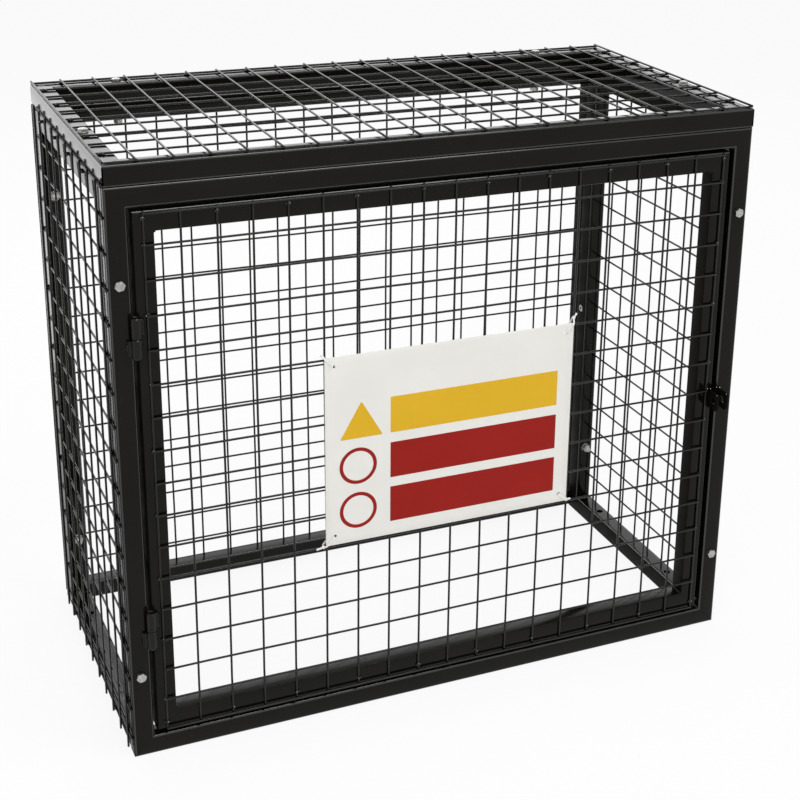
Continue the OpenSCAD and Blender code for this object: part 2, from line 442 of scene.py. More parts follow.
def drillsFor(panel, side):
    drills = []
    reach = 0.04
    upright = side in ("left", "right")
    if panel in ("front", "back", "left", "right") and upright:
        rearSide = panel == "back" or (panel in ("left", "right") and side == "left")
        for z in (bolts["endDistance"], wallHeight - bolts["endDistance"]):
            for x in (-postX, postX):
                y = halfDepth - tube if rearSide else frontY + tube
                drills.append(((x, y - reach, z), (x, y + reach, z), bolts["holeRadius"]))
    if panel in ("left", "right") and side == "left":
        for x in (-postX, postX):
            y, z = bolts["lacingY"], bolts["lacingHeight"]
            drills.append(((x - reach, y, z), (x + reach, y, z), bolts["lacingRadius"]))
    if panel == "roof" and side != "bottom" or panel in ("left", "right", "back") and side == "top":
        z = wallHeight
        for sign in (-1, 1):
            x, y = sign * postX, bolts["roofSideY"]
            drills.append(((x, y, z - reach), (x, y, z + reach), bolts["holeRadius"]))
            x, y = sign * bolts["roofBackX"], halfDepth - tube / 2
            drills.append(((x, y, z - reach), (x, y, z + reach), bolts["holeRadius"]))
    if panel in ("left", "right") and side == "bottom":
        for x in (-postX, postX):
            for y in (-bolts["anchorGap"] / 2, bolts["anchorGap"] / 2):
                drills.append(((x, y, -0.01), (x, y, tube + 0.01), bolts["anchorRadius"]))
    return drills


# Square tube with rounded corners and 45 degree ends, long edge on X
def mitredTube(length):
    bm = bmesh.new()
    bmesh.ops.create_grid(bm, x_segments=1, y_segments=1, size=tube / 2)
    roundOff(bm, bm.verts[:], cage["cornerRadius"], 4, "VERTICES")
    stand = Matrix.Translation((0, tube / 2, tube / 2)) @ Matrix.Rotation(pi / 2, 4, "Y")
    bmesh.ops.transform(bm, matrix=stand, verts=bm.verts)
    pushed = bmesh.ops.extrude_face_region(bm, geom=bm.faces[:])
    newVerts = [g for g in pushed["geom"] if isinstance(g, bmesh.types.BMVert)]
    bmesh.ops.translate(bm, verts=newVerts, vec=(length, 0, 0))
    ends = [f for f in bm.faces if abs(f.normal.x) > 0.9]
    bmesh.ops.delete(bm, geom=ends, context="FACES_ONLY")
    for place, normal in (((0, 0, 0), (-1, 1, 0)), ((length, 0, 0), (1, 1, 0))):
        bmesh.ops.bisect_plane(bm, geom=bm.verts[:] + bm.edges[:] + bm.faces[:], dist=1e-7,
                               plane_co=place, plane_no=normal, clear_outer=True)
    bmesh.ops.recalc_face_normals(bm, faces=bm.faces)
    bmesh.ops.solidify(bm, geom=bm.faces[:], thickness=cage["tubeWall"])
    return bm


def sidePlace(side, width, height):
    corners = {"bottom": (0, 0, 0), "right": (width, 0, 90),
               "top": (width, height, 180), "left": (0, height, 270)}
    x, y, turn = corners[side]
    return Matrix.Translation((x, y, 0)) @ Matrix.Rotation(radians(turn), 4, "Z")


def makeMember(panel, side):
    width, height = panels[panel]["size"]
    length = height if side in ("left", "right") else width
    local = mitredTube(length)
    bm = bmesh.new()
    joinInto(bm, local, planes[panel] @ sidePlace(side, width, height))
    local.free()
    low = Vector([min(v.co[k] for v in bm.verts) for k in range(3)])
    high = Vector([max(v.co[k] for v in bm.verts) for k in range(3)])
    tools = bmesh.new()
    near = 0.05
    for start, end, radius in drillsFor(panel, side):
        middle = (Vector(start) + Vector(end)) / 2
        if all(low[k] - near < middle[k] < high[k] + near for k in range(3)):
            addRod(tools, start, end, radius, 28)
    if len(tools.verts):
        bm = combine(bm, tools, "DIFFERENCE")
    else:
        tools.free()
    for face in bm.faces:
        face.material_index = list(tubePaints).index(paintFor(panel, side, face))
    node = f"{panel}_{members[panel][sides.index(side)]}"
    paints = tubePaints.values()
    finishPiece(node + "_tube", bm, paints, panels[panel]["body"], (node,), 30)


tubePaints = {"frame": framePaint, "edge": edgeHighlightPaint, "shaded": shadedPaint, "side": shadeBelowPaint,
              "deepShade": deepShadePaint}


# Dull where the photo is dark: in the gaps, inside the cage and low on the hinge side
def paintFor(panel, side, face):
    x, away = face.calc_center_median().x, face.normal.x
    # Painted shade: the dull copy goes in the hinge gap and on the inner faces on the lock side
    if panel in ("front", "door") and abs(x - hingeGapX) < 0.004 and abs(away) > 0.3:
        return "shaded"
    if panel in ("right", "back", "door") and away < -0.7 and x > 0.4:
        return "shaded"
    # Painted shade: the faces in the gap over the door take the almost glossless copy
    inTopGap = side == "top" and (panel, face.normal.z > 0) in (("door", True), ("front", False))
    if inTopGap and abs(face.normal.z) > 0.99:
        return "deepShade"
    # Painted shade on the left faces: the gloss falls towards the bottom, and the bottom rail takes the
    # almost glossless copy
    if panel in ("left", "front", "back") and away < -0.7 and x < tube / 3 - halfWidth:
        return "deepShade" if side == "bottom" else "side"
    # Painted highlight: rounded edges that face the light take the glossier copy
    rounded = max(abs(part) for part in face.normal) < 0.99
    catchesLight = panel != "door" or side == "top" and face.normal.z > 0.15
    return "edge" if rounded and catchesLight else "frame"


for panelName in panels:
    for sideName in sides:
        makeMember(panelName, sideName)
print("tubes made")


# Stand a piece drawn in a panel's plane in its place on the cage
def finishOnPanel(panel, kind, local, materials, hides, sharpAt):
    bm = bmesh.new()
    joinInto(bm, local, planes[panel])
    local.free()
    finishPiece(panel + kind, bm, materials, panels[panel]["body"], hides, sharpAt)


# Welds of the panels' corners
cornerWelds = {"seamWidth": 0.0016, "seamRise": 0.00014, "filletRadius": 0.0028, "trim": 0.0022}


def makeCornerWelds(panel):
    width, height = panels[panel]["size"]
    local = bmesh.new()
    trim = cornerWelds["trim"]
    for x, sx in ((0, 1), (width, -1)):
        for y, sy in ((0, 1), (height, -1)):
            outer = (x + sx * trim, y + sy * trim)
            inner = (x + sx * (tube - trim), y + sy * (tube - trim))
            for z, lift in ((0, -1), (tube, 1)):
                addBead(local, (*outer, z), (*inner, z), cornerWelds["seamWidth"], (0, 0, lift),
                        cornerWelds["seamRise"])
            corner = (x + sx * tube, y + sy * tube)
            addBead(local, (*corner, 0.001), (*corner, tube - 0.001), cornerWelds["filletRadius"],
                    (sx, sy, 0), cornerWelds["filletRadius"] * 0.9)
    finishOnPanel(panel, "_corner_welds", local, [framePaint], (), 60)


for panelName in panels:
    makeCornerWelds(panelName)
print("corner welds made")


# Wire meshes
wires = {
    "radius": 0.00165,
    "hover": 0.0003,
    "outerFace": 0.0057,
    "pitch": 0.05,
    "shortRow": 0.03,
    "sides": 12,
    "cutsPerMetre": 16,
    "endRounding": 0.0005,
    "wave": 0.0009,
    "uneven": 0.0008,
    "nuggetRadius": 0.00195,
    "nuggetRise": 0.0015,
}
layerOne = wires["radius"] + wires["hover"]
layerTwo = wires["outerFace"] - wires["radius"]


def wireRow(first, last):
    places = []
    place = first
    while place <= last - wires["shortRow"] + 1e-9:
        places.append(place)
        place += wires["pitch"]
    return places + [last]


# The side meshes cover the front frame's thickness too
sideReach = 0.48
meshes = {
    "left": {"ups": [sideReach - p for p in wireRow(0.025, 0.467)],
             "rows": wireRow(0.03, 0.8735),
             "rowSpan": (0.005, 0.478), "upSpan": (0.004, 0.8795), "rowsOut": False},
    "right": {"ups": [sideReach - p for p in wireRow(0.03, 0.467)],
              "rows": wireRow(0.02, 0.869),
              "rowSpan": (0.005, 0.46), "upSpan": (0.004, 0.8875), "rowsOut": False},
    "back": {"ups": wireRow(0.004, 0.9985), "rows": wireRow(0.01, 0.86),
             "rowSpan": (0.0, 1.0), "upSpan": (0.006, 0.87), "rowsOut": False},
    "roof": {"ups": [1.0 - p for p in wireRow(0.004, 0.9985)],
             "rows": wireRow(0.005, 0.505),
             "rowSpan": (0.0, 1.0), "upSpan": (0.0, 0.51), "rowsOut": False},
    "door": {"ups": wireRow(0.015, 0.915), "rows": wireRow(0.002, 0.7955),
             "rowSpan": (0.013, 0.917), "upSpan": (0.0, doorHeight), "rowsOut": True},
}


# A slow sideways drift that every wire and weld of one mesh shares
def drift(x, y, phases):
    across = sin(x * 7.1 + phases[0]) * 0.5 + sin(y * 11.3 + x * 3.1 + phases[1]) * 0.5
    upward = sin(y * 8.3 + phases[2]) * 0.5 + sin(x * 12.7 - y * 2.3 + phases[3]) * 0.5
    return across * wires["wave"], upward * wires["wave"]


def makeMesh(panel):
    plan = meshes[panel]
    width, height = panels[panel]["size"]
    phases = [rng.uniform(0, 6) for k in range(4)]
    rowLevel, upLevel = (layerTwo, layerOne) if plan["rowsOut"] else (layerOne, layerTwo)
    local = bmesh.new()
    for kind, level in (("up", tube + upLevel), ("row", tube + rowLevel)):
        for place in plan[kind + "s"]:
            low = plan[kind + "Span"][0] + rng.uniform(0, wires["uneven"])
            high = plan[kind + "Span"][1] - rng.uniform(0, wires["uneven"])
            start, end = [(place, at, level) if kind == "up" else (at, place, level) for at in (low, high)]
            cuts = int((high - low) * wires["cutsPerMetre"])
            addRod(local, start, end, wires["radius"], wires["sides"], cuts, wires["endRounding"])
    middle = tube + (layerOne + layerTwo) / 2
    for x in plan["ups"]:
        for y in plan["rows"]:
            addBlob(local, (x, y, middle), wires["nuggetRadius"], (0, 0, 1), wires["nuggetRise"])
    for vert in local.verts:
        x, y = vert.co.x, vert.co.y
        fade = min(1, x / 0.05, y / 0.05, (width - x + 0.03) / 0.05, (height - y + 0.01) / 0.05)
        dx, dy = drift(x, y, phases)
        vert.co.x += dx * max(0, fade)
        vert.co.y += dy * max(0, fade)
    finishOnPanel(panel, "_wires", local, [wirePaint], (panel + "_mesh",), 50)


for panelName in meshes:
    makeMesh(panelName)
print("wire meshes made")


# Tack welds that hold the meshes to the tubes, each a small lumpy cluster
tacks = {"radius": 0.0023, "rise": 0.0021, "spread": 0.0019, "lumps": 6, "edge": 0.009, "roofEdge": 0.0115,
         "roofScale": 1.3, "speck": 0.00065, "speckLevel": 0.0042}


def tackSpots(panel):
    plan = meshes[panel]
    width, height = panels[panel]["size"]
    ups, rows = sorted(plan["ups"]), sorted(plan["rows"])
    if panel == "door":
        left, right = plan["rowSpan"]
        spots = [(x, y) for y in rows[1::2] for x in (left + 0.002, right - 0.002)]
        return spots + [(x, y) for x in ups[::2] for y in (0.012, height - 0.009)]
    edge = tacks["roofEdge"] if panel == "roof" else tacks["edge"]
    spots = [(x, y) for y in rows[1:-1:2] for x in (edge, width - edge)]
    return spots + [(x, y) for x in ups[1:-1:2] for y in (tacks["edge"], height - tacks["edge"])]


def makeTacks(panel):
    local = bmesh.new()
    for x, y in tackSpots(panel):
        size = rng.uniform(0.85, 1.15) * (tacks["roofScale"] if panel == "roof" else 1)
        spread = tacks["spread"] * size
        for k in range(tacks["lumps"]):
            place = (x + rng.uniform(-spread, spread) * 1.4, y + rng.uniform(-spread, spread),
                     tube + rng.uniform(0.0004, 0.0024))
            addBlob(local, place, tacks["radius"] * size * rng.uniform(0.6, 1.05), (0, 0, 1),
                    tacks["rise"] * rng.uniform(0.6, 1.0), 6, 10)
        lumps = len(local.faces)
        # One light metal speck on each tack as a painted glint
        place = (x + rng.uniform(-spread, spread), y + rng.uniform(0, spread), tube + tacks["speckLevel"])
        addBlob(local, place, tacks["speck"], (0, 0, 1), tacks["speck"], 6, 10)
        for face in list(local.faces)[lumps:]:
            face.material_index = 1
    finishOnPanel(panel, "_tack_welds", local, [weldPaint, glintSpeckMetal], (), 70)


for panelName in meshes:
    makeTacks(panelName)
print("tack welds made")


# Bolts and nuts
fastener = {
    "acrossFlats": 0.013,
    "headHeight": 0.0053,
    "lowHeadHeight": 0.004,
    "nutHeight": 0.0065,
    "washerRadius": 0.0078,
    "washerHeight": 0.0014,
    "threadRadius": 0.004,
    "threadPitch": 0.00125,
    "threadDepth": 0.0006,
    "stickOut": 0.0085,
    "backStickOut": 0.002,
    "chamfer": 28,
    "crown": 0.94,
    "lowCrown": 0.84,
    "ringInset": 0.14,
    "ringRise": 0.00018,
    "faceRadius": 0.0062,
    "faceHeight": 0.0003,
}


# Hexagon whose corners are turned off by a cone on one or both ends
def hexBlock(height, bothEnds, crown):
    corner = fastener["acrossFlats"] / sqrt(3)
    block = bmesh.new()
    bmesh.ops.create_cone(block, cap_ends=True, segments=6, radius1=corner, radius2=corner, depth=height)
    bmesh.ops.translate(block, verts=block.verts, vec=(0, 0, height / 2))
    flat = fastener["acrossFlats"] / 2 * crown
    past = corner + 0.001
    drop = (past - flat) * tan(radians(fastener["chamfer"]))
    outline = [(0, height), (flat, height), (past, height - drop)]
    outline += [(past, drop), (flat, 0), (0, 0)] if bothEnds else [(past, -0.001), (0, -0.001)]
    return combine(block, spunShape(outline, 48), "INTERSECT")


# Closed turned shape from (radius, height) points that begin and end on the axis
def spunShape(outline, steps):
    bm = bmesh.new()
    verts = [bm.verts.new((r, 0, z)) for r, z in outline]
    edges = [bm.edges.new(pair) for pair in zip(verts, verts[1:])]
    bmesh.ops.spin(bm, geom=verts + edges, cent=(0, 0, 0), axis=(0, 0, 1), dvec=(0, 0, 0),
                   angle=2 * pi, steps=steps, use_merge=True, use_duplicate=False)
    bmesh.ops.remove_doubles(bm, verts=bm.verts, dist=1e-6)
    bmesh.ops.recalc_face_normals(bm, faces=bm.faces)
    return bm


def threadedEnd(length):
    outer = fastener["threadRadius"]
    root = outer - fastener["threadDepth"]
    pitch = fastener["threadPitch"]
    outline = [(0, 0), (root, 0)]
    z = 0
    while z < length - pitch:
        outline += [(outer, z + pitch * 0.4), (outer, z + pitch * 0.55), (root, z + pitch * 0.95)]
        z += pitch
    outline += [(root, length), (root - 0.0005, length + 0.0004), (0, length + 0.0004)]
    return spunShape(outline, 24)


# Bolt head with the raised ring that forging leaves on top and a washer face below
def boltHead(height, crown):
    shape = hexBlock(height, False, crown)
    ring = fastener["acrossFlats"] / 2 * (crown - fastener["ringInset"])
    low, high = height - 0.0006, height + fastener["ringRise"]
    joinInto(shape, spunShape([(0, low), (ring, low), (ring - 0.0003, high), (0, high)], 32))
    rim, thick = fastener["faceRadius"], fastener["faceHeight"]
    joinInto(shape, spunShape([(0, 0), (rim, 0), (rim, thick), (0, thick)], 32))
    return shape


def washerDisc(radius, height, rounding=0.0003):
    return spunShape([(0, 0), (radius, 0), (radius, height - rounding), (radius - rounding, height),
                      (0, height)], 32)


headShape = boltHead(fastener["headHeight"], fastener["crown"])
lowHeadShape = boltHead(fastener["lowHeadHeight"], fastener["lowCrown"])
nutShape = hexBlock(fastener["nutHeight"], True, fastener["crown"])
washerShape = washerDisc(fastener["washerRadius"], fastener["washerHeight"])
endShape = threadedEnd(fastener["stickOut"] + fastener["nutHeight"])
shortEndShape = threadedEnd(fastener["backStickOut"] + fastener["nutHeight"])


def fastenerPlace(spot, out, turn=None):
    place = Matrix.Translation(spot) @ facing(out)
    return place @ Matrix.Rotation(rng.uniform(0, pi) if turn is None else radians(turn), 4, "Z")


def placeBolt(bm, spot, out, turn=None, head=headShape, washered=False):
    place = fastenerPlace(spot, out, turn)
    if washered:
        joinInto(bm, washerShape, place)
        place = place @ Matrix.Translation((0, 0, fastener["washerHeight"]))
    joinInto(bm, head, place)


def placeNut(bm, spot, out, end=endShape):
    place = fastenerPlace(spot, out)
    joinInto(bm, washerShape, place)
    place = place @ Matrix.Translation((0, 0, fastener["washerHeight"]))
    joinInto(bm, nutShape, place)
    joinInto(bm, end, place)


def makeBolts():
    front, back, roof = bmesh.new(), bmesh.new(), bmesh.new()
    for x, headTurns in ((-postX, (42, 40)), (postX, (25, 5))):
        for z, headTurn in zip((bolts["endDistance"], wallHeight - bolts["endDistance"]), headTurns):
            placeBolt(front, (x, frontY, z), (0, -1, 0), headTurn)
            placeNut(front, (x, frontY + 2 * tube, z), (0, 1, 0))
            placeBolt(back, (x, halfDepth, z), (0, 1, 0))
            placeNut(back, (x, halfDepth - 2 * tube, z), (0, -1, 0))
    for sign in (-1, 1):
        for x, y, end, washered in ((sign * postX, bolts["roofSideY"], endShape, True),
                                    (sign * bolts["roofBackX"], halfDepth - tube / 2, shortEndShape, False)):
            placeBolt(roof, (x, y, wallHeight + tube), (0, 0, 1), None, lowHeadShape, washered)
            placeNut(roof, (x, y, wallHeight - tube), (0, 0, -1), end)
    for name, bm in (("front_bolts", front), ("back_bolts", back), ("roof_bolts", roof)):
        finishPiece(name, bm, [zincPlate], "cage", (), 32)


makeBolts()


# Threaded inserts in the rear side posts, where a retaining chain would hook in
insert = {"bore": 0.0029, "sleeve": 0.0039, "collar": 0.0062, "depth": 0.012, "rise": 0.001}


def makeInserts():
    bm = bmesh.new()
    bore, sleeve, collar, rise = insert["bore"], insert["sleeve"], insert["collar"], insert["rise"]
    ring = [(bore, -insert["depth"]), (sleeve, -insert["depth"]), (sleeve, 0), (collar, 0),
            (collar, rise - 0.0004), (collar - 0.0006, rise), (bore + 0.0004, rise), (bore, rise - 0.0004),
            (bore, -insert["depth"])]
    for side in (-1, 1):
        place = Matrix.Translation((side * (halfWidth - tube), bolts["lacingY"], bolts["lacingHeight"]))
        joinInto(bm, spunShape(ring, 32), place @ facing((-side, 0, 0)))
    finishPiece("chain_inserts", bm, [zincPlate], "cage", (), 32)


makeInserts()
print("bolts made")


# Hinges
hinge = {
    "x": hingeGapX,
    "y": frontY - 0.007,
    "radius": 0.007,
    "knuckle": 0.03,
    "split": 0.0006,
    "pinRadius": 0.004,
    "rim": 0.0009,
    "heights": (0.211, wallHeight - 0.211),
    "wing": (0.0112, 0.006),
    "wingRounding": 0.0024,
    # Welds of a wing: out from the axis, before the front, end gap, radius and rise
    "beads": ((0.0108, 0.0006, 0.0005, 0.0026, 0.0019), (0.0062, 0.0058, 0.001, 0.0019, 0.0014)),
}


def lowerKnuckle():
    r, k, rim = hinge["radius"], hinge["knuckle"], hinge["rim"]
    return spunShape([(0, -k), (r - 0.0032, -k), (r - 0.0016, -k + 0.0008), (r - 0.0004, -k + 0.0030),
                      (r, -k + 0.0062), (r, -rim), (r - rim, 0), (hinge["pinRadius"] + 0.0003, 0),
                      (hinge["pinRadius"], 0.0003), (hinge["pinRadius"], k - 0.007),
                      (hinge["pinRadius"] - 0.0008, k - 0.006), (0, k - 0.006)], 48)


def upperKnuckle():
    r, k, rim = hinge["radius"], hinge["knuckle"], hinge["rim"]
    s, bore = hinge["split"], hinge["pinRadius"] + 0.0001
    return spunShape([(0, k - 0.005), (bore, k - 0.005), (bore, s), (r - rim, s), (r, s + rim),
                      (r, k + s - 0.001), (r - 0.0010, k + s), (r - 0.0018, k + s),
                      (r - 0.0026, k + s - 0.0009), (0, k + s - 0.0012)], 48)


def makeHinge(name, split):
    lower, upper = bmesh.new(), bmesh.new()
    place = Matrix.Translation((hinge["x"], hinge["y"], split))
    joinInto(lower, lowerKnuckle(), place)
    joinInto(upper, upperKnuckle(), place)
    x, k = hinge["x"], hinge["knuckle"]
    reach, thick = hinge["wing"]
    for sign, bm, low, high in ((-1, lower, split - k + 0.004, split - 0.003),
                                (1, upper, split + 0.0036, split + k - 0.003)):
        wing = boxOf((reach, thick, high - low))
        level = [e for e in wing.edges if abs(e.verts[0].co.z - e.verts[1].co.z) < 1e-6]
        roundOff(wing, level, hinge["wingRounding"], 4)
        joinInto(bm, wing, Matrix.Translation((x + sign * reach / 2, frontY - thick / 2, (low + high) / 2)))
        wing.free()
        for aside, before, trim, radius, rise in hinge["beads"]:
            place = (x + sign * aside, frontY - before)
            addBead(bm, (*place, low + trim), (*place, high - trim), radius, (sign, -1.1, 0), rise)
    for kind, bm, body, node in (("pin", lower, "cage", "frame"), ("cup", upper, "door", "door")):
        finishPiece(f"{name}_hinge_{kind}_half", bm, [fittingPaint], body,
                    (f"{name}_hinge_{node}_half",), 40)


makeHinge("lower", hinge["heights"][0])
makeHinge("upper", hinge["heights"][1])
print("hinges made")


# Hasp ears
hasp = {
    "reach": 0.03,
    "height": 0.029,
    "thick": 0.0045,
    "holeRadius": 0.006,
    "holeOut": 0.017,
    "middle": 0.427,
    "doorX": 0.453,
    "frameX": 0.4705,
    "cornerRadius": 0.0035,
    "speck": 0.0008,
    "edgeRounding": 0.0004,
    "weldReach": 0.0125,
}


def makeEar(name, x, node, body):
    middle = Matrix.Translation((x + hasp["thick"] / 2, frontY - hasp["reach"] / 2, hasp["middle"]))
    plate = boxOf((hasp["thick"], hasp["reach"], hasp["height"]), middle)
    outer = frontY - hasp["reach"]
    ends = [e for e in plate.edges if all(abs(v.co.y - outer) < 1e-6 for v in e.verts)
            and abs(e.verts[0].co.x - e.verts[1].co.x) > 0.001]
    roundOff(plate, ends, hasp["cornerRadius"], 5)
    rod = bmesh.new()
    hole = Vector((x, frontY - hasp["holeOut"], hasp["middle"]))
    addRod(rod, hole - Vector((0.003, 0, 0)), hole + Vector((0.008, 0, 0)), hasp["holeRadius"], 40)
    plate = combine(plate, rod, "DIFFERENCE")
    sharp = [e for e in plate.edges if len(e.link_faces) == 2 and e.calc_face_angle(0) > radians(50)]
    roundOff(plate, sharp, hasp["edgeRounding"], 2)
    for side, edge in ((-1, x), (1, x + hasp["thick"])):
        low, high = [(edge, frontY - 0.0004, hasp["middle"] + s * hasp["weldReach"]) for s in (-1, 1)]
        addBead(plate, low, high, 0.0022, (side, -1, 0), 0.0018)
    top = hasp["middle"] + hasp["height"] / 2
    for z in (top - hasp["height"], top):
        addBlob(plate, (x + hasp["thick"] / 2, frontY - 0.0012, z), 0.0034, (0, -1, 0), 0.0026, 6, 12)
    # Light metal specks at the ear's corners and hole as painted glints
    painted = len(plate.faces)
    for spot in ((x - 0.0008, frontY - 0.0022, top + 0.0012),
                 (x + hasp["thick"], frontY - 0.0032, top + 0.0008),
                 (x + 0.001, outer + hasp["cornerRadius"] * 0.5, top - hasp["cornerRadius"] * 0.3),
                 (x + hasp["thick"] * 0.8, hole.y + 0.001, hasp["middle"] - hasp["holeRadius"] * 0.93)):
        addBlob(plate, spot, hasp["speck"], (0, 0, 1), hasp["speck"], 6, 10)
    for face in list(plate.faces)[painted:]:
        face.material_index = 1
    # The ear plates take the dull copy as painted shade
    finishPiece(name, plate, [shadedPaint, glintSpeckMetal], body, (node,), 40)


makeEar("door_padlock_ear", hasp["doorX"], "door_hasp_ear", "door")
makeEar("frame_padlock_ear", hasp["frameX"], "frame_hasp_ear", "cage")
print("hasp made")


# Sign
sign = {
    "width": 0.4,
    "height": 0.3,
    "thick": 0.003,
    "middle": (-0.003, 0.444),
    "back": frontY - 0.0062,
    "cornerRadius": 0.003,
    "holeRadius": 0.003,
    "holeInset": 0.014,
    "rimRounding": 0.0005,
    "film": 0.00005,
    "bandLeft": 0.1012,
    "bandRight": 0.3755,
    "bandCorner": 0.0008,
    "yellowBand": (0.1684, 0.2258),
    "redBands": ((0.0953, 0.1526), (0.0223, 0.0801)),
    "triangle": {"middle": (0.0556, 0.1875), "radius": 0.0385, "rounding": 0.003},
    "rings": {"middles": ((0.0505, 0.1236), (0.0505, 0.0512)), "radius": 0.0293, "width": 0.0056},
}


def makeSign():
    left = sign["middle"][0] - sign["width"] / 2
    low = sign["middle"][1] - sign["height"] / 2
    place = Matrix.Translation((sign["middle"][0], sign["back"] - sign["thick"] / 2, sign["middle"][1]))
    plate = boxOf((sign["width"], sign["thick"], sign["height"]), place)
    corners = [e for e in plate.edges if abs(e.verts[0].co.y - e.verts[1].co.y) > sign["thick"] / 2]
    roundOff(plate, corners, sign["cornerRadius"], 5)
    rims = [e for e in plate.edges if abs(e.verts[0].co.y - e.verts[1].co.y) < 1e-6]
    roundOff(plate, rims, sign["rimRounding"], 2)
    rods = bmesh.new()
    for x in (sign["holeInset"], sign["width"] - sign["holeInset"]):
        for z in (sign["holeInset"], sign["height"] - sign["holeInset"]):
            addRod(rods, (left + x, sign["back"] + 0.004, low + z), (left + x, sign["back"] - 0.01, low + z),
                   sign["holeRadius"], 24)
    plate = combine(plate, rods, "DIFFERENCE")
    finishPiece("sign_board", plate, [signWhite], "door", ("sign_plate",), 40)


# Thin printed film: flat shapes drawn in the sign's own corner coordinates, then raised
def makePrint():
    origin = Matrix.Translation((sign["middle"][0] - sign["width"] / 2, sign["back"] - sign["thick"],
                                 sign["middle"][1] - sign["height"] / 2)) @ Matrix.Rotation(pi / 2, 4, "X")
    bm = bmesh.new()

    def raiseFilm(shape, ink):
        for face in shape.faces:
            face.material_index = ink
        pushed = bmesh.ops.extrude_face_region(shape, geom=shape.faces[:])
        top = [g for g in pushed["geom"] if isinstance(g, bmesh.types.BMVert)]
        bmesh.ops.translate(shape, verts=top, vec=(0, 0, sign["film"]))
        bmesh.ops.recalc_face_normals(shape, faces=shape.faces)
        joinInto(bm, shape, origin)
        shape.free()

    for ink, span in ((0, sign["yellowBand"]), (1, sign["redBands"][0]), (1, sign["redBands"][1])):
        shape = bmesh.new()
        bmesh.ops.create_grid(shape, x_segments=1, y_segments=1, size=0.5)
        width, height = sign["bandRight"] - sign["bandLeft"], span[1] - span[0]
        middle = ((sign["bandLeft"] + sign["bandRight"]) / 2, (span[0] + span[1]) / 2, 0)
        bmesh.ops.transform(shape, matrix=Matrix.Translation(middle) @ Matrix.Diagonal((width, height, 1, 1)),
                            verts=shape.verts)
        roundOff(shape, shape.verts[:], sign["bandCorner"], 3, "VERTICES")
        raiseFilm(shape, ink)
    mark = sign["triangle"]
    shape = bmesh.new()
    bmesh.ops.create_circle(shape, cap_ends=True, segments=3, radius=mark["radius"],
                            matrix=Matrix.Translation((*mark["middle"], 0)))
    roundOff(shape, shape.verts[:], mark["rounding"], 5, "VERTICES")
    raiseFilm(shape, 0)
    ring = sign["rings"]
    for middle in ring["middles"]:
        shape = bmesh.new()
        for radius in (ring["radius"], ring["radius"] - ring["width"]):
            bmesh.ops.create_circle(shape, cap_ends=False, segments=64, radius=radius,
                                    matrix=Matrix.Translation((*middle, 0)))
        bmesh.ops.bridge_loops(shape, edges=shape.edges[:])
        raiseFilm(shape, 1)
    finishPiece("sign_print", bm, [signYellow, signRed], "door", (), 40)


makeSign()
makePrint()
print("sign made")


# Cable ties
tie = {
    "width": 0.0026,
    "thick": 0.0011,
    "rest": 0.0004,
    "behind": frontY + 0.0018,
    "head": (0.0044, 0.0036, 0.0040),
    "headRounding": 0.0007,
    # Outer end of each loop from its hole, how far its rear run leans aside, and the tail beyond it
    "corners": [
        {"side": (-1, 1), "loop": (-0.0165, 0.0170), "lean": (0, 0, 0), "tail": None},
        {"side": (1, 1), "loop": (0.0150, 0.0215), "lean": (0.003, 0, -0.0027),
         "tail": (0.0042, -0.0012, 0.0072)},
        {"side": (-1, -1), "loop": (-0.0170, -0.0165), "lean": (0, 0, 0),
         "tail": (-0.0115, -0.0010, -0.0015)},
        {"side": (1, -1), "loop": (0.0172, -0.0145), "lean": (0, 0, -0.002),
         "tail": (0.0060, -0.0010, 0.0006)},
    ],
}


# A closed strap through the hole, over the sign's corner and round the wire behind it
def tieLoop(hole, corner, outer, near, far, lean):
    bend = corner * 0.92
    path = [(near, bend * 0.14), (near, bend * 0.7), (near + 0.0001, bend), (near + 0.0016, outer * 0.9),
            ((near + far) / 2, outer), (far - 0.0014, outer * 0.92 + lean * 0.5), (far, outer * 0.7 + lean),
            (far, outer * 0.2 + lean * 0.3), (far - 0.0018, bend * 0.14), (near + 0.0009, bend * 0.115)]
    return [hole + Vector((0, y, 0)) + place for y, place in path]


def smoothPath(points, closed):
    curve = bpy.data.curves.new("tie", "CURVE")
    curve.dimensions = "3D"
    spline = curve.splines.new("BEZIER")
    spline.bezier_points.add(len(points) - 1)
    for knot, place in zip(spline.bezier_points, points):
        knot.co = place
        knot.handle_left_type = knot.handle_right_type = "AUTO"
    spline.use_cyclic_u = closed
    spline.resolution_u = 5
    item = addObject("tie", curve)
    path = [v.co.copy() for v in item.to_mesh().vertices]
    item.to_mesh_clear()
    bpy.data.objects.remove(item)
    bpy.data.curves.remove(curve)
    return path


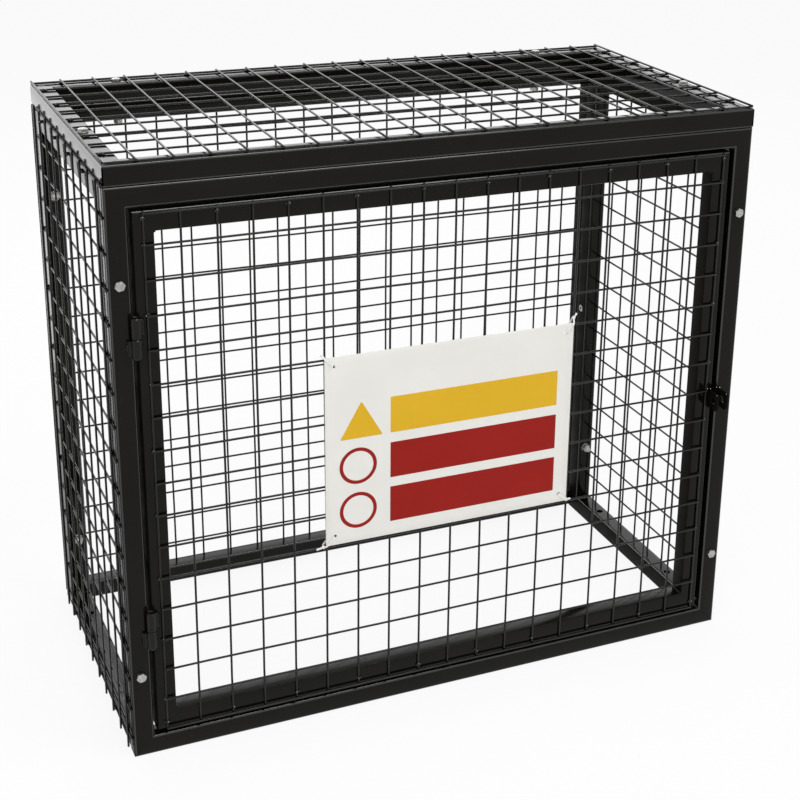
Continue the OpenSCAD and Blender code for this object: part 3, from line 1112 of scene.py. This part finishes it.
def makeTies():
    bm = bmesh.new()
    near = sign["back"] - sign["thick"] - tie["thick"] / 2 - tie["rest"]
    for plan in tie["corners"]:
        sx, sz = plan["side"]
        hole = Vector((sign["middle"][0] + sx * (sign["width"] / 2 - sign["holeInset"]), 0,
                       sign["middle"][1] + sz * (sign["height"] / 2 - sign["holeInset"])))
        corner = Vector((sx * sign["holeInset"], 0, sz * sign["holeInset"]))
        outer = Vector((plan["loop"][0], 0, plan["loop"][1]))
        side = outer.normalized().cross(Vector((0, 1, 0)))
        lean = Vector(plan["lean"])
        addStrap(bm, smoothPath(tieLoop(hole, corner, outer, near, tie["behind"], lean), True), side, True)
        headAt = hole + outer + Vector((0, (near + tie["behind"]) / 2 - 0.001, 0))
        head = boxOf(tie["head"])
        roundOff(head, head.edges[:], tie["headRounding"], 3)
        turn = Matrix((side, Vector((0, 1, 0)), outer.normalized())).transposed().to_4x4()
        joinInto(bm, head, Matrix.Translation(headAt) @ turn)
        head.free()
        if plan["tail"]:
            reach = Vector(plan["tail"])
            sag = Vector((0, -0.0008, 0.0004))
            tail = [headAt, headAt + reach * 0.35 + sag, headAt + reach * 0.7 + sag, headAt + reach]
            addStrap(bm, smoothPath(tail, False), reach.normalized().cross(Vector((0, 1, 0))), False)
    finishPiece("sign_cable_ties", bm, [tieNylon], "door", ("sign_ties",), 45)


# Flat strap: a small rectangle carried along the path
def addStrap(bm, path, side, closed):
    strap = bmesh.new()
    count = len(path)
    rings = []
    for k, spot in enumerate(path):
        ahead = path[(k + 1) % count] if closed or k < count - 1 else spot
        behind = path[k - 1] if closed or k else spot
        forward = (ahead - behind).normalized()
        lift = forward.cross(side).normalized()
        w, t = side.normalized() * tie["width"] / 2, lift * tie["thick"] / 2
        rings.append([strap.verts.new(spot + a * w + b * t) for a, b in ((-1, -1), (1, -1), (1, 1), (-1, 1))])
    pairs = list(zip(rings, rings[1:])) + ([(rings[-1], rings[0])] if closed else [])
    for first, second in pairs:
        for k in range(4):
            strap.faces.new((first[k], first[(k + 1) % 4], second[(k + 1) % 4], second[k]))
    if not closed:
        strap.faces.new(rings[0])
        strap.faces.new(rings[-1][::-1])
    bmesh.ops.recalc_face_normals(strap, faces=strap.faces)
    joinInto(bm, strap)
    strap.free()


makeTies()
print("ties made")


# Floor, world and lamps
studio = {
    "floorSize": 16,
    "floorColour": (0.88, 0.88, 0.87, 1),
    "shadowShare": 0.12,
    "skyStrength": 0.65,
    "lamps": [
        {"name": "key", "place": (-2.6, -3.0, 3.4), "aim": (0, 0, 0.5), "size": (1.4, 1.4), "power": 44},
        {"name": "top_panel", "place": (0.35, -1.1, 3.2), "aim": (0, -0.25, 0.6), "size": (1.5, 0.6),
         "power": 26},
        {"name": "side_panel", "place": (-0.81, 0.62, 0.64), "aim": (-0.55, -0.24, 0.86), "size": (0.6, 0.72),
         "power": 0.9},
        {"name": "roof_panel", "place": (-0.15, 2.6, 1.6), "aim": (-0.485, 0, 0.902), "size": (0.85, 0.7),
         "power": 0.9},
        {"name": "wire_panel", "place": (-0.6, 2.7, 2.4), "aim": (0, 0, 0.9), "size": (1.3, 0.9),
         "power": 11},
        {"name": "back_panel", "place": (1.4, 3.2, 2.05), "aim": (0.4, 0, 0.3), "size": (3.4, 1.3),
         "power": 14},
        {"name": "edge_lamp", "place": (1.2, -2.05, 2.94), "aim": (0, -0.255, 0.87), "size": (0.5, 0.5),
         "power": 6},
    ],
}


def isPlainRay(tree):
    path = tree.nodes.new("ShaderNodeLightPath")
    first = addNode(tree, "ShaderNodeMath", operation="MAXIMUM")
    second = addNode(tree, "ShaderNodeMath", operation="MAXIMUM")
    tree.links.new(path.outputs["Is Camera Ray"], first.inputs[0])
    tree.links.new(path.outputs["Is Glossy Ray"], first.inputs[1])
    tree.links.new(first.outputs[0], second.inputs[0])
    tree.links.new(path.outputs["Is Transmission Ray"], second.inputs[1])
    return second.outputs[0]


def makeFloor():
    bm = bmesh.new()
    bmesh.ops.create_grid(bm, x_segments=1, y_segments=1, size=studio["floorSize"] / 2)
    mesh = bpy.data.meshes.new("floor")
    bm.to_mesh(mesh)
    bm.free()
    floor = addObject("floor", mesh)
    material = bpy.data.materials.new("pale_floor")
    material.use_nodes = True
    tree = material.node_tree
    tree.nodes.clear()
    diffuse = addNode(tree, "ShaderNodeBsdfDiffuse", Color=studio["floorColour"])
    white = addNode(tree, "ShaderNodeEmission", Color=(1, 1, 1, 1), Strength=1.0)
    share = addNode(tree, "ShaderNodeMath", operation="MULTIPLY")
    share.inputs[1].default_value = 1 - studio["shadowShare"]
    mix = tree.nodes.new("ShaderNodeMixShader")
    output = tree.nodes.new("ShaderNodeOutputMaterial")
    tree.links.new(isPlainRay(tree), share.inputs[0])
    tree.links.new(share.outputs[0], mix.inputs[0])
    tree.links.new(diffuse.outputs[0], mix.inputs[1])
    tree.links.new(white.outputs[0], mix.inputs[2])
    tree.links.new(mix.outputs[0], output.inputs["Surface"])
    mesh.materials.append(material)


def makeWorld():
    world = bpy.data.worlds.new("studio")
    world.use_nodes = True
    tree = world.node_tree
    tree.nodes.clear()
    soft = addNode(tree, "ShaderNodeBackground", Color=(1, 1, 1, 1), Strength=studio["skyStrength"])
    white = addNode(tree, "ShaderNodeBackground", Color=(1, 1, 1, 1), Strength=1.0)
    mix = tree.nodes.new("ShaderNodeMixShader")
    output = tree.nodes.new("ShaderNodeOutputWorld")
    tree.links.new(isPlainRay(tree), mix.inputs[0])
    tree.links.new(soft.outputs[0], mix.inputs[1])
    tree.links.new(white.outputs[0], mix.inputs[2])
    tree.links.new(mix.outputs[0], output.inputs["Surface"])
    bpy.context.scene.world = world


def makeLamps():
    for lamp in studio["lamps"]:
        data = bpy.data.lights.new(lamp["name"], "AREA")
        data.shape = "RECTANGLE"
        data.size, data.size_y = lamp["size"]
        data.energy = lamp["power"]
        item = addObject(lamp["name"], data)
        aim = Vector(lamp["aim"]) - Vector(lamp["place"])
        item.matrix_world = Matrix.Translation(lamp["place"]) @ facing(aim, "-Z")
        item.visible_camera = False


makeFloor()
makeWorld()
makeLamps()
bpy.context.scene.view_settings.view_transform = "Standard"
print("studio made")
